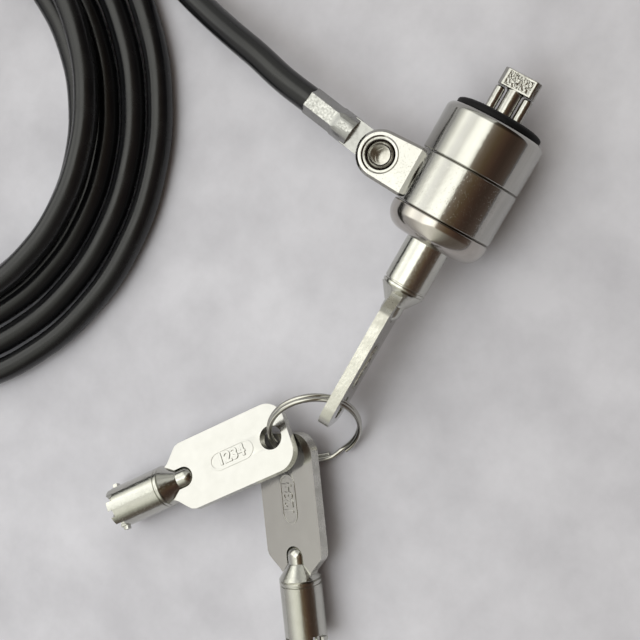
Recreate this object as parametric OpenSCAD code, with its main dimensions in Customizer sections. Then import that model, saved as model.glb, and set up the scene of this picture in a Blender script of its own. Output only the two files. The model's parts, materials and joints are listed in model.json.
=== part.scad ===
// Laptop cable lock: a T-bar lock head with a swivelling collar, a hinged cable fitting,
// a coiled steel cable with a looped end, and three tubular keys on a split ring.
// The lock axis is X, the T-bar points to +X, and the rubber face washer's flat is x = 0.
// Z is up. The head lies on the plane z = -head_d / 2.

/* [Lock head] */
// Diameter of the front shell, the collar and the rear cap
head_d = 18; // [17.6:0.1:20]
// Length of the front shell
front_len = 9; // [8.4:0.1:12]
// Length of the swivel collar
collar_len = 9.3; // [8.8:0.1:12]
// Length of the rear cap
cap_len = 4.5; // [4.2:0.1:7]
// Radius of the front shell's outer edge
front_edge_r = 1.2; // [0.6:0.1:1.8]
// Radius of the rear cap's outer edge
cap_edge_r = 3.4; // [2:0.1:3.8]
// Width of the open seam beside the collar
seam = 0.12; // [0.1:0.01:0.3]
// Chamfer on each edge that faces a seam
seam_chamfer = 0.2; // [0.1:0.05:0.4]
// Diameter of the fixed lock cylinder inside the shells
cylinder_d = 13; // [12.4:0.1:13.6]
// Thickness of the front shell's end wall
front_wall = 1.6; // [1.2:0.1:2.4]
// Thickness of the rear cap's end wall
cap_wall = 1.3; // [1:0.05:1.4]
// Depth of the clip chamber between the guide plate and the lock cylinder
chamber_len = 3; // [2.4:0.1:3.4]
// Diameter of the clip chamber
chamber_d = 10.8; // [10.4:0.1:11.6]

/* [Security slot nose] */
// Width of the T-bar
t_w = 6.7; // [6:0.1:6.9]
// Thickness of the T-bar
t_h = 2.8; // [2.4:0.1:2.9]
// Length of the T-bar along the lock axis
t_len = 3; // [2:0.1:4]
// Chamfer along the T-bar's long edges
t_chamfer = 0.7; // [0.2:0.05:0.8]
// Gap between the T-bar and the face washer
t_gap = 4.5; // [3:0.1:6]
// Diameter of the T-bar's shaft
shaft_d = 2.8; // [2.4:0.1:2.9]
// Diameter of a guide post
post_d = 1.8; // [1.4:0.1:1.8]
// Distance between the guide posts' centres
post_pitch = 5.1; // [4.8:0.05:5.2]
// Diameter of the guide plate's boss
boss_d = 9; // [8.6:0.1:9.6]
// Thickness of the guide plate's flange
flange_t = 1; // [0.8:0.1:1.2]
// Diameter of the face washer
washer_d = 15.6; // [14:0.1:16.4]
// Thickness of the face washer
washer_t = 1.4; // [1:0.1:2]
// Diameter of the face washer's flat
washer_flat_d = 11.2; // [10:0.1:12]
// Height of the face washer's rim
washer_rim = 0.6; // [0.3:0.1:0.9]

/* [Lock cylinder] */
// Number of pin positions around the plug, of which the last stays empty
pin_places = 8; // [8:1:8]
// Radius of the circle on which the pins stand
pin_circle_r = 3.25; // [3.15:0.05:3.35]
// Diameter of a pin
pin_d = 1.2; // [1:0.1:1.3]
// Length of a driver pin
driver_len = 4; // [3:0.1:4.2]
// Length of a pressed pin spring
spring_len = 3.9; // [3:0.1:4]
// Diameter of the plug's disc
plug_d = 10.4; // [10:0.1:10.6]
// Length of the plug's disc
plug_len = 4.3; // [3.8:0.1:4.6]
// Diameter of the plug's spindle
spindle_d = 4.1; // [3.9:0.1:4.3]
// Diameter of the plug's centre post, which the key's tube slides over
centre_post_d = 4.9; // [4.4:0.1:5]
// Thickness of the plug's clip
clip_t = 0.7; // [0.5:0.1:0.9]
// Outside diameter of the plug's clip
clip_d = 7.2; // [6.6:0.1:8]
// Diameter of the retaining pin
retainer_d = 1.5; // [1.2:0.1:1.8]

/* [Hinge and cable fitting] */
// Distance from the lock axis to the hinge rivet
hinge_reach = 14.4; // [14:0.1:15]
// Width of the collar's lug at its round end
lug_w = 8.6; // [8.2:0.1:8.8]
// Width of the collar's lug where it leaves the collar
lug_root_w = 9.1; // [8.6:0.1:9.2]
// Thickness of the collar's lug
lug_t = 6.3; // [6:0.1:7]
// Bevel along the lug's edges
lug_bevel = 0.5; // [0.4:0.05:0.6]
// Width of the slot between the lug's two ears
slot_w = 2.6; // [2.4:0.1:3]
// Diameter of the rivet's shank
rivet_d = 4.1; // [3.9:0.1:4.3]
// Diameter of the rivet's rolled heads
rivet_head_d = 4.6; // [4.4:0.1:4.8]
// Thickness of a rivet head
rivet_head_t = 0.75; // [0.6:0.05:0.8]
// Diameter of the hollow in the rivet
rivet_bore_d = 3.4; // [2.6:0.1:3.5]
// Diameter of the counterbore around a rivet head
recess_d = 5.3; // [5.1:0.1:5.5]
// Depth of the counterbore around a rivet head
recess_depth = 0.9; // [0.8:0.05:1]
// Diameter of the shallow spot face around the counterbore
spot_d = 6; // [5.8:0.1:6.2]
// Depth of the spot face
spot_depth = 0.3; // [0.2:0.05:0.35]
// Diameter of the fitting's eye
eye_d = 7; // [6.6:0.1:7.2]
// Diameter of the fitting's round body
ferrule_d = 5.4; // [5.2:0.1:5.8]
// Distance across the flats of the six-sided crimp
crimp_h = 4.4; // [4.1:0.1:4.6]
// Length of the crimped stretch
crimp_len = 6.4; // [5:0.1:7]
// Length over which the crimp's flats run out into the round body
crimp_run_out = 1.3; // [0.8:0.1:1.6]
// Diameter of the cable's wire rope core
core_d = 2.8; // [2.2:0.1:3.4]
// Depth to which the wire rope core enters the fitting
core_depth = 6; // [4:0.1:7]

/* [Keys] */
// Outside diameter of a key's tube
tube_d = 7.86; // [7.7:0.02:7.9]
// Inside diameter of a key's tube
tube_bore_d = 5.3; // [5.2:0.02:5.4]
// Depth of the hole in a key's tube
tube_depth = 9; // [6:0.1:10]
// Length of a key's tube, to its grooves
tube_len = 10.9; // [10:0.1:13]
// Length of the cone behind the tube
cone_len = 2.6; // [2:0.1:3.4]
// Diameter of the nose that holds the bow
nose_d = 3.8; // [3.4:0.1:4]
// Length of the nose
nose_len = 3.3; // [2.8:0.1:4]
// Depth to which the key stands in the lock
key_insert = 2.8; // [2.6:0.1:3]
// Width of a key's bow
bow_w = 12.9; // [12:0.1:15]
// Thickness of a key's bow
bow_t = 2; // [1.6:0.1:2.2]
// Length of a key, from tip to the end of its bow
key_len = 38.6; // [37:0.1:42]
// Diameter of the hole in a key's bow
bow_hole_d = 4.4; // [4.3:0.1:4.8]
// Distance from the bow's hole to its end
hole_edge = 3.6; // [3.4:0.1:4.4]
// Corner radius at the end of a bow
bow_corner_r = 3.8; // [3.4:0.1:5.4]
// Length of the raised oval on a bow's face
oval_len = 8.2; // [6:0.1:9]
// Width of the raised oval on a bow's face
oval_w = 3.6; // [3:0.1:4.5]
// Distance from the raised oval's centre to the end of the bow
oval_edge = 11.5; // [11:0.1:13]
// Wire diameter of the split ring
ring_wire_d = 0.9; // [0.7:0.05:0.95]
// Outside diameter of the split ring
ring_d = 17.2; // [17:0.1:17.4]

/* [Cable] */
// Diameter of the cable
cable_d = 4.8; // [4.8:0.1:4.8]
// Length of the sleeve that closes the end loop
sleeve_len = 12; // [10:0.5:16]
// Height of the sleeve, pressed flat
sleeve_h = 5.6; // [5.4:0.1:5.8]
// Bend radius at the far end of the loop
loop_r = 19.5; // [17:0.5:21]

/* [Hidden] */
$fn = 96;

STEEL = "#c3c6cb";
BRASS = "#b89a58";
RUBBER = "#1b1b1d";
JACKET = "#101114";

// Clearances
run_gap = 0.05;      // radial, between turning pieces
pin_gap = 0.08;      // radial, around a pin in its bore
face_gap = 0.03;     // between end faces that meet and part
tongue_gap = 0.1;    // on each side of the tongue in its slot
key_gap = 0.1;       // radial, around the key's tube in the keyway
seat_gap = 0.01;     // radial, around a piece that is pressed or fastened in place
eps = 0.01;          // a cut's reach past the face it opens

// Places along the lock axis, from the front face to the rear
head_r = head_d / 2;
x_shell = -washer_t;
x_plate = x_shell - front_wall;
x_sleeve = x_plate - flange_t - chamber_len;
x_seam = x_shell - front_len;
x_collar = x_seam - seam;
x_collar_end = x_collar - collar_len;
x_cap = x_collar_end - seam;
x_end = x_cap - cap_len;
x_lug = (x_collar + x_collar_end) / 2;

// The lock cylinder is set out from the key's tip
x_tip = x_end + key_insert;
x_plug = x_tip + 0.3;
x_shear = x_plug + plug_len;
x_sleeve_end = x_end + cap_wall;
spring_bottom = x_shear + driver_len + spring_len;
x_clip = x_sleeve + run_gap;
x_spindle = x_clip + clip_t + 0.6;
shaft_depth = 5;
retainer_x = x_sleeve - 1.4;
cylinder_r = cylinder_d / 2;
bore_r = pin_d / 2 + pin_gap;
pin_cuts = [0.6, 1.3, 0.9, 1.6, 0.5, 1.1, 1.4];   // how deep each pin stands in the key's tip

// Local x of the keys runs from the tip to the bow, y across the bow and z along its normal
bow_start = 15.8;
bow_leg_start = tube_len + 1.1;
nib_h = 0.7;
nib_w = 1.1;
nib_len = 0.9;
nib_back = 0.35;
cone_end_r = 2.1;
key_1_tip = [x_tip, 0, 0];
key_1_turn = [90, 0, 180];

// The split ring hangs in the first key's hole, and the loose keys hang on the ring by theirs
hole_reach = key_len - hole_edge;
ring_centre = key_1_tip + [-hole_reach - 6.65, 1.7, -2.8];
ring_turn = [0, 41.5, -131];
key_2_turn = [-18, -4, -34.5];
key_2_tip = ring_centre + [-5.45, 5.7, 0.45] - hole_reach * key_axis(key_2_turn);
key_3_turn = [-25, 1, 36];
key_3_tip = ring_centre + [-7.1, 2.55, -2.3] - hole_reach * key_axis(key_3_turn);

// Cable: the fitting points from the hinge to the cable's first point
floor_z = -9;
cable_r = cable_d / 2;
cable_route = [[-12.8, 30.4, 0], [-11.9, 36.5, 0], [-10.4, 43, -0.4], [-9.2, 49.5, -1.4], [-7.8, 56, -2.8],
    [-6, 63, -4.4], [-3.8, 70, -5.8], [-1.4, 77, -6.5], [1.1, 84, -6.6], [3.5, 91, -6.6], [5.2, 96.6, -6.6],
    [5.6, 100.2, -6.6]];
hinge = [x_lug, hinge_reach, 0];
fitting_dir = cable_route[0] - hinge;
fitting_len = norm(fitting_dir);
fitting_turn = atan2(fitting_dir.y, fitting_dir.x);
slot_floor = head_r + 0.6;

// Coil: it winds in on the table, climbs where it turns back, and winds out on top
coil_centre = [-53, 105];
coil_start_r = 58.6;
coil_pitch = 5.3;
turns_in = 4;
turns = 5;
coil_sides = 6;
coil_steps = 24;
coil_low_z = floor_z + cable_r;

// Far end: the tail climbs onto the coil, and the loop lies on top of it
tail_route = [[-10.3, 109.8, -1.3], [-10.8, 118, -0.9], [-12.8, 126, 0.6], [-16.6, 133.5, 2.6],
    [-22.2, 140, 4], [-29.5, 144.6, 4.2], [-38, 147.1, 4.2], [-46, 147.65, 4.2]];
sleeve_pitch = 5.3;
loop_entry_r = 25;
loop_steps = 5;

// ---- helpers ----

// Cylinder along the lock axis from x0 forward to x1
module xcyl(x0, x1, r) {
    translate([x0, 0, 0]) rotate([0, 90, 0]) cylinder(h = x1 - x0, r = r);
}

// A profile of [radius, x] points spun about the lock axis
module spin(profile) {
    rotate([0, 90, 0]) rotate_extrude() polygon(profile);
}

// Points on an arc about [cx, cy], from angle a0 to a1
function arc(cx, cy, r, a0, a1, steps = 8) =
    [for (i = [0:steps]) let (a = a0 + (a1 - a0) * i / steps) [cx + r * cos(a), cy + r * sin(a)]];

// Puts its children at each pin place
module at_pins(first = 0) {
    for (i = [first:pin_places - 2]) {
        a = (i + 0.5) * 360 / pin_places;
        translate([0, pin_circle_r * sin(a), pin_circle_r * cos(a)]) {
            $pin = i;
            children();
        }
    }
}

// Direction from a key's tip along its tube, for the key's turn
function key_axis(turn) = [cos(turn.y) * cos(turn.z), cos(turn.y) * sin(turn.z), -sin(turn.y)];

// Unit vector along v
function unit(v) = v / norm(v);

// Direction of a route at its point i
function heading(route, i) =
    unit(route[min(i + 1, len(route) - 1)] - route[max(i - 1, 0)]);

// Ring of points about point i of a route, one of them straight up
function ring_at(route, i, r, sides) =
    let (t = heading(route, i), side = unit(cross(t, [0, 0, 1])), up = cross(side, t))
    [for (k = [0:sides - 1]) let (a = 90 + k * 360 / sides) route[i] + r * (cos(a) * side + sin(a) * up)];

// Closed tube along a route
module tube(route, r, sides) {
    n = len(route);
    points = [for (i = [0:n - 1]) each ring_at(route, i, r, sides)];
    walls = [for (i = [0:n - 2], k = [0:sides - 1])
        let (a = i * sides + k, b = i * sides + (k + 1) % sides)
        each [[a, b, b + sides], [a, b + sides, a + sides]]];
    first = [for (k = [1:sides - 2]) [0, k + 1, k]];
    last = [for (k = [1:sides - 2]) [0, k, k + 1] + [1, 1, 1] * (n - 1) * sides];
    polyhedron(points, concat(walls, first, last), convexity = 10);
}

// ---- front shell and nose ----

// Die-cast shell with a rounded front edge, bored for the lock cylinder
module front_shell() {
    color(STEEL) difference() {
        spin([[0, x_seam], [head_r - seam_chamfer, x_seam], [head_r, x_seam + seam_chamfer],
            each arc(head_r - front_edge_r, x_shell - front_edge_r, front_edge_r, 0, 90), [0, x_shell]]);
        xcyl(x_plate - eps, x_shell + eps, boss_d / 2 + seat_gap);
        xcyl(x_sleeve - eps, x_plate, chamber_d / 2);
        xcyl(x_seam - eps, x_sleeve, cylinder_r + seat_gap);
        translate([retainer_x, 0, -head_r - eps]) cylinder(h = head_r, d = retainer_d + 2 * seat_gap);
    }
}

// Rubber washer with a domed rim, slotted for the shaft and the guide posts
module face_washer() {
    dome = (washer_d - washer_flat_d) / 2;
    rise = washer_t - washer_rim;
    rim = [for (a = [0:15:90]) [washer_flat_d / 2 + dome * cos(a), x_shell + washer_rim + rise * sin(a)]];
    color(RUBBER) difference() {
        spin([[0, x_shell], [washer_d / 2, x_shell], each rim, [0, 0]]);
        xcyl(x_shell - eps, eps, shaft_d / 2 + 2 * key_gap);
        for (side = [-1, 1]) {
            translate([0, side * post_pitch / 2, 0]) xcyl(x_shell - eps, eps, post_d / 2 + key_gap);
        }
        translate([x_shell - eps, -post_pitch / 2, -post_d / 2 - key_gap])
            cube([washer_t + 2 * eps, post_pitch, post_d + 2 * key_gap]);
    }
}

// Plate with the two fixed guide posts that keep the nose square in the slot
module guide_plate() {
    post_end = t_gap - 0.15;
    tip = 0.25;
    color(STEEL) difference() {
        union() {
            xcyl(x_plate, x_shell, boss_d / 2);
            xcyl(x_plate - flange_t, x_plate, chamber_d / 2 - key_gap);
            for (side = [-1, 1]) {
                translate([0, side * post_pitch / 2, 0]) {
                    xcyl(x_shell - eps, post_end - tip, post_d / 2);
                    translate([post_end - tip, 0, 0]) rotate([0, 90, 0])
                        cylinder(h = tip, r1 = post_d / 2, r2 = post_d / 2 - tip);
                }
            }
        }
        xcyl(x_plate - flange_t - eps, x_shell + eps, shaft_d / 2 + run_gap);
    }
}

// Hardened T-bar on its shaft
module t_bar() {
    color(STEEL) {
        translate([t_gap, 0, 0]) rotate([90, 0, 90]) linear_extrude(t_len) t_section();
        xcyl(x_spindle - shaft_depth, t_gap, shaft_d / 2);
    }
}

// Cross-section of the T-bar's head, with its long edges chamfered
module t_section() {
    w = t_w / 2;
    h = t_h / 2;
    c = t_chamfer;
    polygon([[w, h - c], [w - c, h], [c - w, h], [-w, h - c],
        [-w, c - h], [c - w, -h], [w - c, -h], [w, c - h]]);
}

// ---- lock cylinder ----

// Fixed cylinder: driver bores in front, room for the plug behind
module tumbler_sleeve() {
    color(BRASS) difference() {
        xcyl(x_sleeve_end, x_sleeve, cylinder_r);
        xcyl(x_sleeve_end - eps, x_shear, plug_d / 2 + run_gap);
        xcyl(x_shear - eps, x_sleeve + eps, spindle_d / 2 + run_gap);
        at_pins() xcyl(x_shear - eps, spring_bottom, bore_r);
        translate([retainer_x, 0, -head_r])
            cylinder(h = head_r - cylinder_r + 1.8 + seat_gap, d = retainer_d + 2 * seat_gap);
    }
}

// Turning plug: disc with the key pins' bores, centre post and spindle
module plug() {
    color(BRASS) difference() {
        union() {
            xcyl(x_plug, x_shear - face_gap, plug_d / 2);
            xcyl(x_end + 0.4, x_plug + eps, centre_post_d / 2);
            xcyl(x_shear - eps - face_gap, x_spindle, spindle_d / 2);
        }
        at_pins() xcyl(x_plug - eps, x_shear, bore_r);
        xcyl(x_spindle - shaft_depth, x_spindle + eps, shaft_d / 2 + seat_gap);
        difference() {
            xcyl(x_clip, x_clip + clip_t + face_gap, spindle_d);
            xcyl(x_clip - eps, x_clip + clip_t + 2 * face_gap, clip_seat_r());
        }
    }
}

// Radius of the plug's groove, in which the clip sits
function clip_seat_r() = spindle_d / 2 - 0.3;

// Spring-steel clip that holds the plug in the lock cylinder
module plug_clip() {
    color(STEEL) difference() {
        xcyl(x_clip, x_clip + clip_t, clip_d / 2);
        xcyl(x_clip - eps, x_clip + clip_t + eps, clip_seat_r() + seat_gap);
        translate([x_clip - eps, 0.3 - clip_seat_r(), 0])
            cube([clip_t + 2 * eps, 2 * clip_seat_r() - 0.6, clip_d]);
    }
}

// Cross pin that holds the lock cylinder in the front shell
module retaining_pin() {
    color(STEEL) translate([retainer_x, 0, 0.3 - head_r]) cylinder(h = head_r - cylinder_r + 1.5, d = retainer_d);
}

// Seven key pins, cut to the key's seven notches
module key_pins() {
    color(STEEL) at_pins() xcyl(x_tip - pin_cuts[$pin] + face_gap, x_shear - face_gap, pin_d / 2);
}

// Seven driver pins of one length
module driver_pins() {
    color(STEEL) at_pins() xcyl(x_shear, x_shear + driver_len, pin_d / 2);
}

// Seven pin springs, pressed
module pin_springs() {
    color(STEEL) at_pins() difference() {
        xcyl(x_shear + driver_len + face_gap, spring_bottom, pin_d / 2);
        xcyl(x_shear + driver_len, spring_bottom + eps, pin_d / 2 - 0.25);
    }
}

// Domed cap that closes the rear, with a keyway notched for the key's nibs
module rear_cap() {
    keyway_r = tube_d / 2 + key_gap;
    color(STEEL) difference() {
        spin([[0, x_end], each arc(head_r - cap_edge_r, x_end + cap_edge_r, cap_edge_r, -90, 0),
            [head_r, x_cap - seam_chamfer], [head_r - seam_chamfer, x_cap], [0, x_cap]]);
        xcyl(x_sleeve_end, x_cap + eps, cylinder_r + seat_gap);
        xcyl(x_end - eps, x_sleeve_end + eps, keyway_r);
        translate([x_end - eps, -nib_w / 2 - key_gap, -keyway_r - nib_h])
            cube([cap_wall + 2 * eps, nib_w + 2 * key_gap, 2 * (keyway_r + nib_h)]);
    }
}

// ---- collar and hinge ----

// Collar that turns on the lock cylinder, with a two-eared lug for the cable
module swivel_collar() {
    color(STEEL) difference() {
        union() {
            spin([[0, x_collar_end], [head_r - seam_chamfer, x_collar_end], [head_r, x_collar_end + seam_chamfer],
                [head_r, x_collar - seam_chamfer], [head_r - seam_chamfer, x_collar], [0, x_collar]]);
            translate([x_lug, 0, 0]) lug();
        }
        xcyl(x_collar_end - eps, x_collar + eps, cylinder_r + run_gap);
        translate([x_lug - lug_w, slot_floor, -slot_w / 2]) cube([2 * lug_w, 2 * hinge_reach, slot_w]);
        translate(hinge) {
            cylinder(h = lug_t + 1, d = rivet_d + 2 * seat_gap, center = true);
            for (side = [0, 180]) {
                rotate([side, 0, 0]) translate([0, 0, lug_t / 2]) {
                    translate([0, 0, -recess_depth]) cylinder(h = lug_t, d = recess_d);
                    translate([0, 0, -spot_depth]) cylinder(h = spot_depth + eps, d1 = spot_d, d2 = spot_d + 2 * spot_depth);
                }
            }
        }
    }
}

// Solid lug with bevelled edges, from inside the collar to its round end
module lug() {
    root = cylinder_r + 1;
    flat_w = lug_w - 2 * lug_bevel;
    side_t = lug_t - 2 * lug_bevel;
    hull() {
        translate([0, hinge_reach, 0]) cylinder(h = side_t, d = lug_w, center = true, $fn = 48);
        translate([0, hinge_reach, 0]) cylinder(h = lug_t, d = flat_w, center = true, $fn = 48);
        translate([-lug_root_w / 2, root, -side_t / 2]) cube([lug_root_w, 1, side_t]);
        translate([lug_bevel - lug_root_w / 2, root, -lug_t / 2]) cube([lug_root_w - 2 * lug_bevel, 1, lug_t]);
    }
}

// Rivet through both ears and the fitting's eye, hollow and rolled over on top, with a solid head below
module hinge_rivet() {
    reach = lug_t / 2 - recess_depth;
    hollow_top = reach + rivet_head_t;
    hollow_depth = 4.6;
    lip = 0.3;
    color(STEEL) translate(hinge) difference() {
        union() {
            cylinder(h = 2 * reach + 2 * eps, d = rivet_d, center = true);
            for (side = [0, 180]) {
                rotate([side, 0, 0]) translate([0, 0, reach]) {
                    cylinder(h = rivet_head_t - lip, d = rivet_head_d);
                    translate([0, 0, rivet_head_t - lip])
                        cylinder(h = lip, d1 = rivet_head_d, d2 = rivet_head_d - 2 * lip);
                }
            }
        }
        translate([0, 0, hollow_top - hollow_depth]) cylinder(h = hollow_depth + eps, d = rivet_bore_d);
        translate([0, 0, hollow_top - lip]) cylinder(h = lip + eps, d1 = rivet_bore_d, d2 = rivet_bore_d + 2 * lip);
    }
}

// Steel end fitting: flat tongue with an eye, and a round body with a six-sided crimp on the cable
module cable_fitting() {
    tongue_t = slot_w - 2 * tongue_gap;
    body_start = lug_w / 2 + 2.2;
    run_out_start = fitting_len - crimp_len - crimp_run_out / 2;
    crimp_r = crimp_h / 2 / cos(30);
    color(STEEL) translate(hinge) rotate([0, 0, fitting_turn]) difference() {
        union() {
            cylinder(h = tongue_t, d = eye_d, center = true);
            translate([0, -ferrule_d / 2 + 0.1, -tongue_t / 2]) cube([body_start + 1, ferrule_d - 0.2, tongue_t]);
            intersection() {
                xcyl(body_start, fitting_len, ferrule_d / 2);
                union() {
                    xcyl(body_start - eps, run_out_start, ferrule_d);
                    translate([run_out_start - eps, 0, 0]) rotate([90, 0, 90])
                        cylinder(h = crimp_run_out + 2 * eps, r1 = ferrule_d / 2 / cos(30), r2 = crimp_r, $fn = 6);
                    translate([run_out_start + crimp_run_out, 0, 0]) rotate([90, 0, 90])
                        cylinder(h = crimp_len, r = crimp_r, $fn = 6);
                }
            }
        }
        cylinder(h = lug_t, d = rivet_d + 2 * run_gap, center = true);
        xcyl(fitting_len - core_depth, fitting_len + eps, core_d / 2 + seat_gap);
    }
}

// End of the wire rope core, held in the fitting
module cable_core() {
    color(STEEL) translate(hinge) rotate([0, 0, fitting_turn])
        xcyl(fitting_len - core_depth, fitting_len, core_d / 2);
}

// ---- cable ----

// Jacketed cable from the fitting down to the coil
module cable_stretch() {
    color(JACKET) tube(cable_route, cable_r, 8);
}

// Centre line of the coil after t turns
function coil_point(t) =
    let (r = coil_start_r - coil_pitch * min(t, 2 * turns_in - t),
         climb = min(max((t - turns_in) * 2 + 0.5, 0), 1),
         rise = climb * climb * (3 - 2 * climb))
    [coil_centre.x + r * cos(360 * t), coil_centre.y + r * sin(360 * t), coil_low_z + coil_pitch * rise];

// Centre line of the whole coil, with a straight cable diameter at each end
coil_turns = [for (i = [0:turns * coil_steps]) coil_point(i / coil_steps)];
coil_route = concat([coil_turns[0] - [0, cable_d, 0]], coil_turns,
    [coil_turns[len(coil_turns) - 1] + [0, cable_d, 0]]);

// Least gap between the coil and its own other turns, measured on its points
coil_gap = min([for (i = [0:len(coil_turns) - 1], j = [i + coil_steps / 2:1:len(coil_turns) - 1])
    norm(coil_turns[i] - coil_turns[j])]) - cable_d;
echo(coil_gap = coil_gap);

// The coil, one unbroken tube
module cable_coil() {
    color(JACKET) tube(coil_route, cable_r, coil_sides);
}

// Centre line of the loop: out of the sleeve, round the far end and back into the sleeve
loop_turn = acos((sleeve_pitch / 2 + loop_entry_r) / (loop_entry_r + loop_r));
loop_start = tail_route[len(tail_route) - 1] - [sleeve_len, 0, 0];
loop_axis_y = loop_start.y - sleeve_pitch / 2;
loop_half = [
    for (i = [0:loop_steps]) let (a = loop_turn * i / loop_steps)
        [loop_entry_r * sin(a), sleeve_pitch / 2 + loop_entry_r * (1 - cos(a))],
    for (i = [1:2 * loop_steps]) let (a = loop_turn + (90 + loop_turn) * i / (2 * loop_steps) - 2 * loop_turn)
        [(loop_entry_r + loop_r) * sin(loop_turn) + loop_r * sin(a), loop_r * cos(a)]];
loop_out = [for (p = loop_half) [loop_start.x - p.x, loop_axis_y + p.y, loop_start.z]];
loop_back = [for (i = [len(loop_half) - 2:-1:0]) [loop_out[i].x, 2 * loop_axis_y - loop_out[i].y, loop_start.z]];
loop_route = concat(tail_route, loop_out, loop_back, [loop_back[len(loop_back) - 1] + [sleeve_len - 0.5, 0, 0]]);

// Tail and loop at the cable's far end
module end_loop() {
    color(JACKET) tube(loop_route, cable_r, 8);
}

// Pressed metal sleeve over the loop's two strands
module loop_sleeve() {
    color(STEEL) translate([loop_start.x, loop_axis_y, loop_start.z]) rotate([90, 0, 90]) linear_extrude(sleeve_len)
        difference() {
            union() {
                for (side = [-1, 1]) translate([side * sleeve_pitch / 2, 0]) circle(d = sleeve_h);
                square([sleeve_pitch, sleeve_h], center = true);
            }
            for (side = [-1, 1]) translate([side * sleeve_pitch / 2, 0]) circle(r = cable_r + run_gap);
        }
}

// ---- keys ----

// Turned steel tube with seven notches, two nibs, a grooved collar, a cone and a domed nose
module key_tube() {
    groove = 0.25;
    tube_r = tube_d / 2;
    cone_start = tube_len + 0.9;
    cone_stop = cone_start + cone_len;
    nose_end = cone_stop + nose_len;
    nose_r = nose_d / 2;
    color(STEEL) difference() {
        union() {
            spin(concat([[0, 0], [tube_r, 0], [tube_r, tube_len - 0.3], [tube_r - groove, tube_len - 0.2], [tube_r - groove, tube_len],
                [tube_r, tube_len + 0.1], [tube_r, tube_len + 0.5], [tube_r - groove, tube_len + 0.6],
                [tube_r, cone_start], [cone_end_r, cone_stop], [nose_r, cone_stop + 0.15],
                [nose_r, nose_end - nose_r]],
                [for (a = [15:15:90]) [nose_r * cos(a), nose_end - nose_r + nose_r * sin(a)]]));
            translate([nib_back, -tube_r - nib_h + 0.1, -nib_w / 2]) cube([nib_len, 2 * (tube_r + nib_h - 0.1), nib_w]);
        }
        xcyl(-eps, tube_depth, tube_bore_d / 2);
        for (i = [0:pin_places - 2]) {
            a = (i + 0.5) * 360 / pin_places;
            rotate([a, 0, 0]) {
                translate([0, pin_circle_r, 0]) xcyl(-eps, pin_cuts[i], bore_r);
                translate([-eps, pin_circle_r, -bore_r]) cube([pin_cuts[i] + eps, tube_r, 2 * bore_r]);
            }
        }
        translate([0, 0, -bow_t / 2]) linear_extrude(bow_t) bow_outline();
    }
}

// Outline of the bow with its two legs, its notch for the nose and its hole
module bow_outline() {
    w = bow_w / 2;
    notch_r = nose_d / 2 + 0.02;
    nose_end = tube_len + 0.9 + cone_len + nose_len;
    leg_w = w - 3.1;
    flank = [[bow_leg_start, leg_w - 0.1], [bow_start - 3.1, leg_w], [bow_start - 2.4, leg_w + 0.5],
        [bow_start - 0.8, w - 0.95], [bow_start - 0.1, w - 0.3], [bow_start + 0.8, w]];
    difference() {
        union() {
            polygon(concat(flank, [for (i = [len(flank) - 1:-1:0]) [flank[i].x, -flank[i].y]]));
            translate([bow_start + 0.8, -w]) square([key_len - bow_start - 0.8 - bow_corner_r, bow_w]);
            translate([key_len - bow_corner_r - eps, bow_corner_r - w]) square([bow_corner_r + eps, bow_w - 2 * bow_corner_r]);
            for (side = [-1, 1]) {
                translate([key_len - bow_corner_r, side * (w - bow_corner_r)]) circle(r = bow_corner_r);
            }
        }
        translate([0, -notch_r]) square([nose_end - nose_d / 2, 2 * notch_r]);
        translate([nose_end - nose_d / 2, 0]) circle(r = notch_r);
        translate([key_len - hole_edge, 0]) circle(d = bow_hole_d);
    }
}

// Stamped steel bow with a raised oval frame on each face
module key_bow() {
    frame_h = 0.12;
    frame_w = 0.35;
    color(STEEL) {
        translate([0, 0, -bow_t / 2]) linear_extrude(bow_t) bow_outline();
        for (side = [0, 180]) {
            rotate([side, 0, 0]) translate([key_len - oval_edge, 0, bow_t / 2 - eps]) linear_extrude(frame_h + eps)
                difference() {
                    oval(oval_len, oval_w);
                    oval(oval_len - 2 * frame_w, oval_w - 2 * frame_w);
                }
        }
    }
}

// Round-ended oval, long along x
module oval(l, w) {
    square([l - w, w], center = true);
    for (side = [-1, 1]) translate([side * (l - w) / 2, 0]) circle(d = w, $fn = 48);
}

// Places a key's own frame at its tip
module at_key(tip, turn) {
    translate(tip) rotate(turn) children();
}

// Split ring: two turns of spring wire, one on the other
module split_ring() {
    wire_r = ring_wire_d / 2;
    mean_r = ring_d / 2 - wire_r;
    color(STEEL) translate(ring_centre) rotate(ring_turn) difference() {
        rotate_extrude() {
            for (side = [-1, 1]) translate([mean_r, side * (wire_r - 0.02)]) circle(r = wire_r, $fn = 24);
        }
        for (side = [0, 180]) {
            rotate([side, 0, 20]) translate([mean_r - wire_r - 0.1, 0, 0.04]) cube([ring_wire_d + 0.2, 0.3, ring_wire_d]);
        }
    }
}

front_shell();
face_washer();
guide_plate();
t_bar();
tumbler_sleeve();
plug();
plug_clip();
retaining_pin();
key_pins();
driver_pins();
pin_springs();
rear_cap();
swivel_collar();
hinge_rivet();
cable_fitting();
cable_core();
cable_stretch();
cable_coil();
end_loop();
loop_sleeve();
at_key(key_1_tip, key_1_turn) key_tube();  // key_1_tube
at_key(key_1_tip, key_1_turn) key_bow();  // key_1_bow
split_ring();
at_key(key_2_tip, key_2_turn) key_tube();  // key_2_tube
at_key(key_2_tip, key_2_turn) key_bow();  // key_2_bow
at_key(key_3_tip, key_3_turn) key_tube();  // key_3_tube
at_key(key_3_tip, key_3_turn) key_bow();  // key_3_bow
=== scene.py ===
"""Laptop cable lock: a T-bar lock head with a swivelling collar, a coiled cable and three tubular keys.

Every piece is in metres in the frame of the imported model: the lock axis is X, the T-bar points to +X,
the rubber washer's flat is x = 0, Z is up, and the head lies on the table at z = -9 mm.
"""
import json
import math

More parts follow.
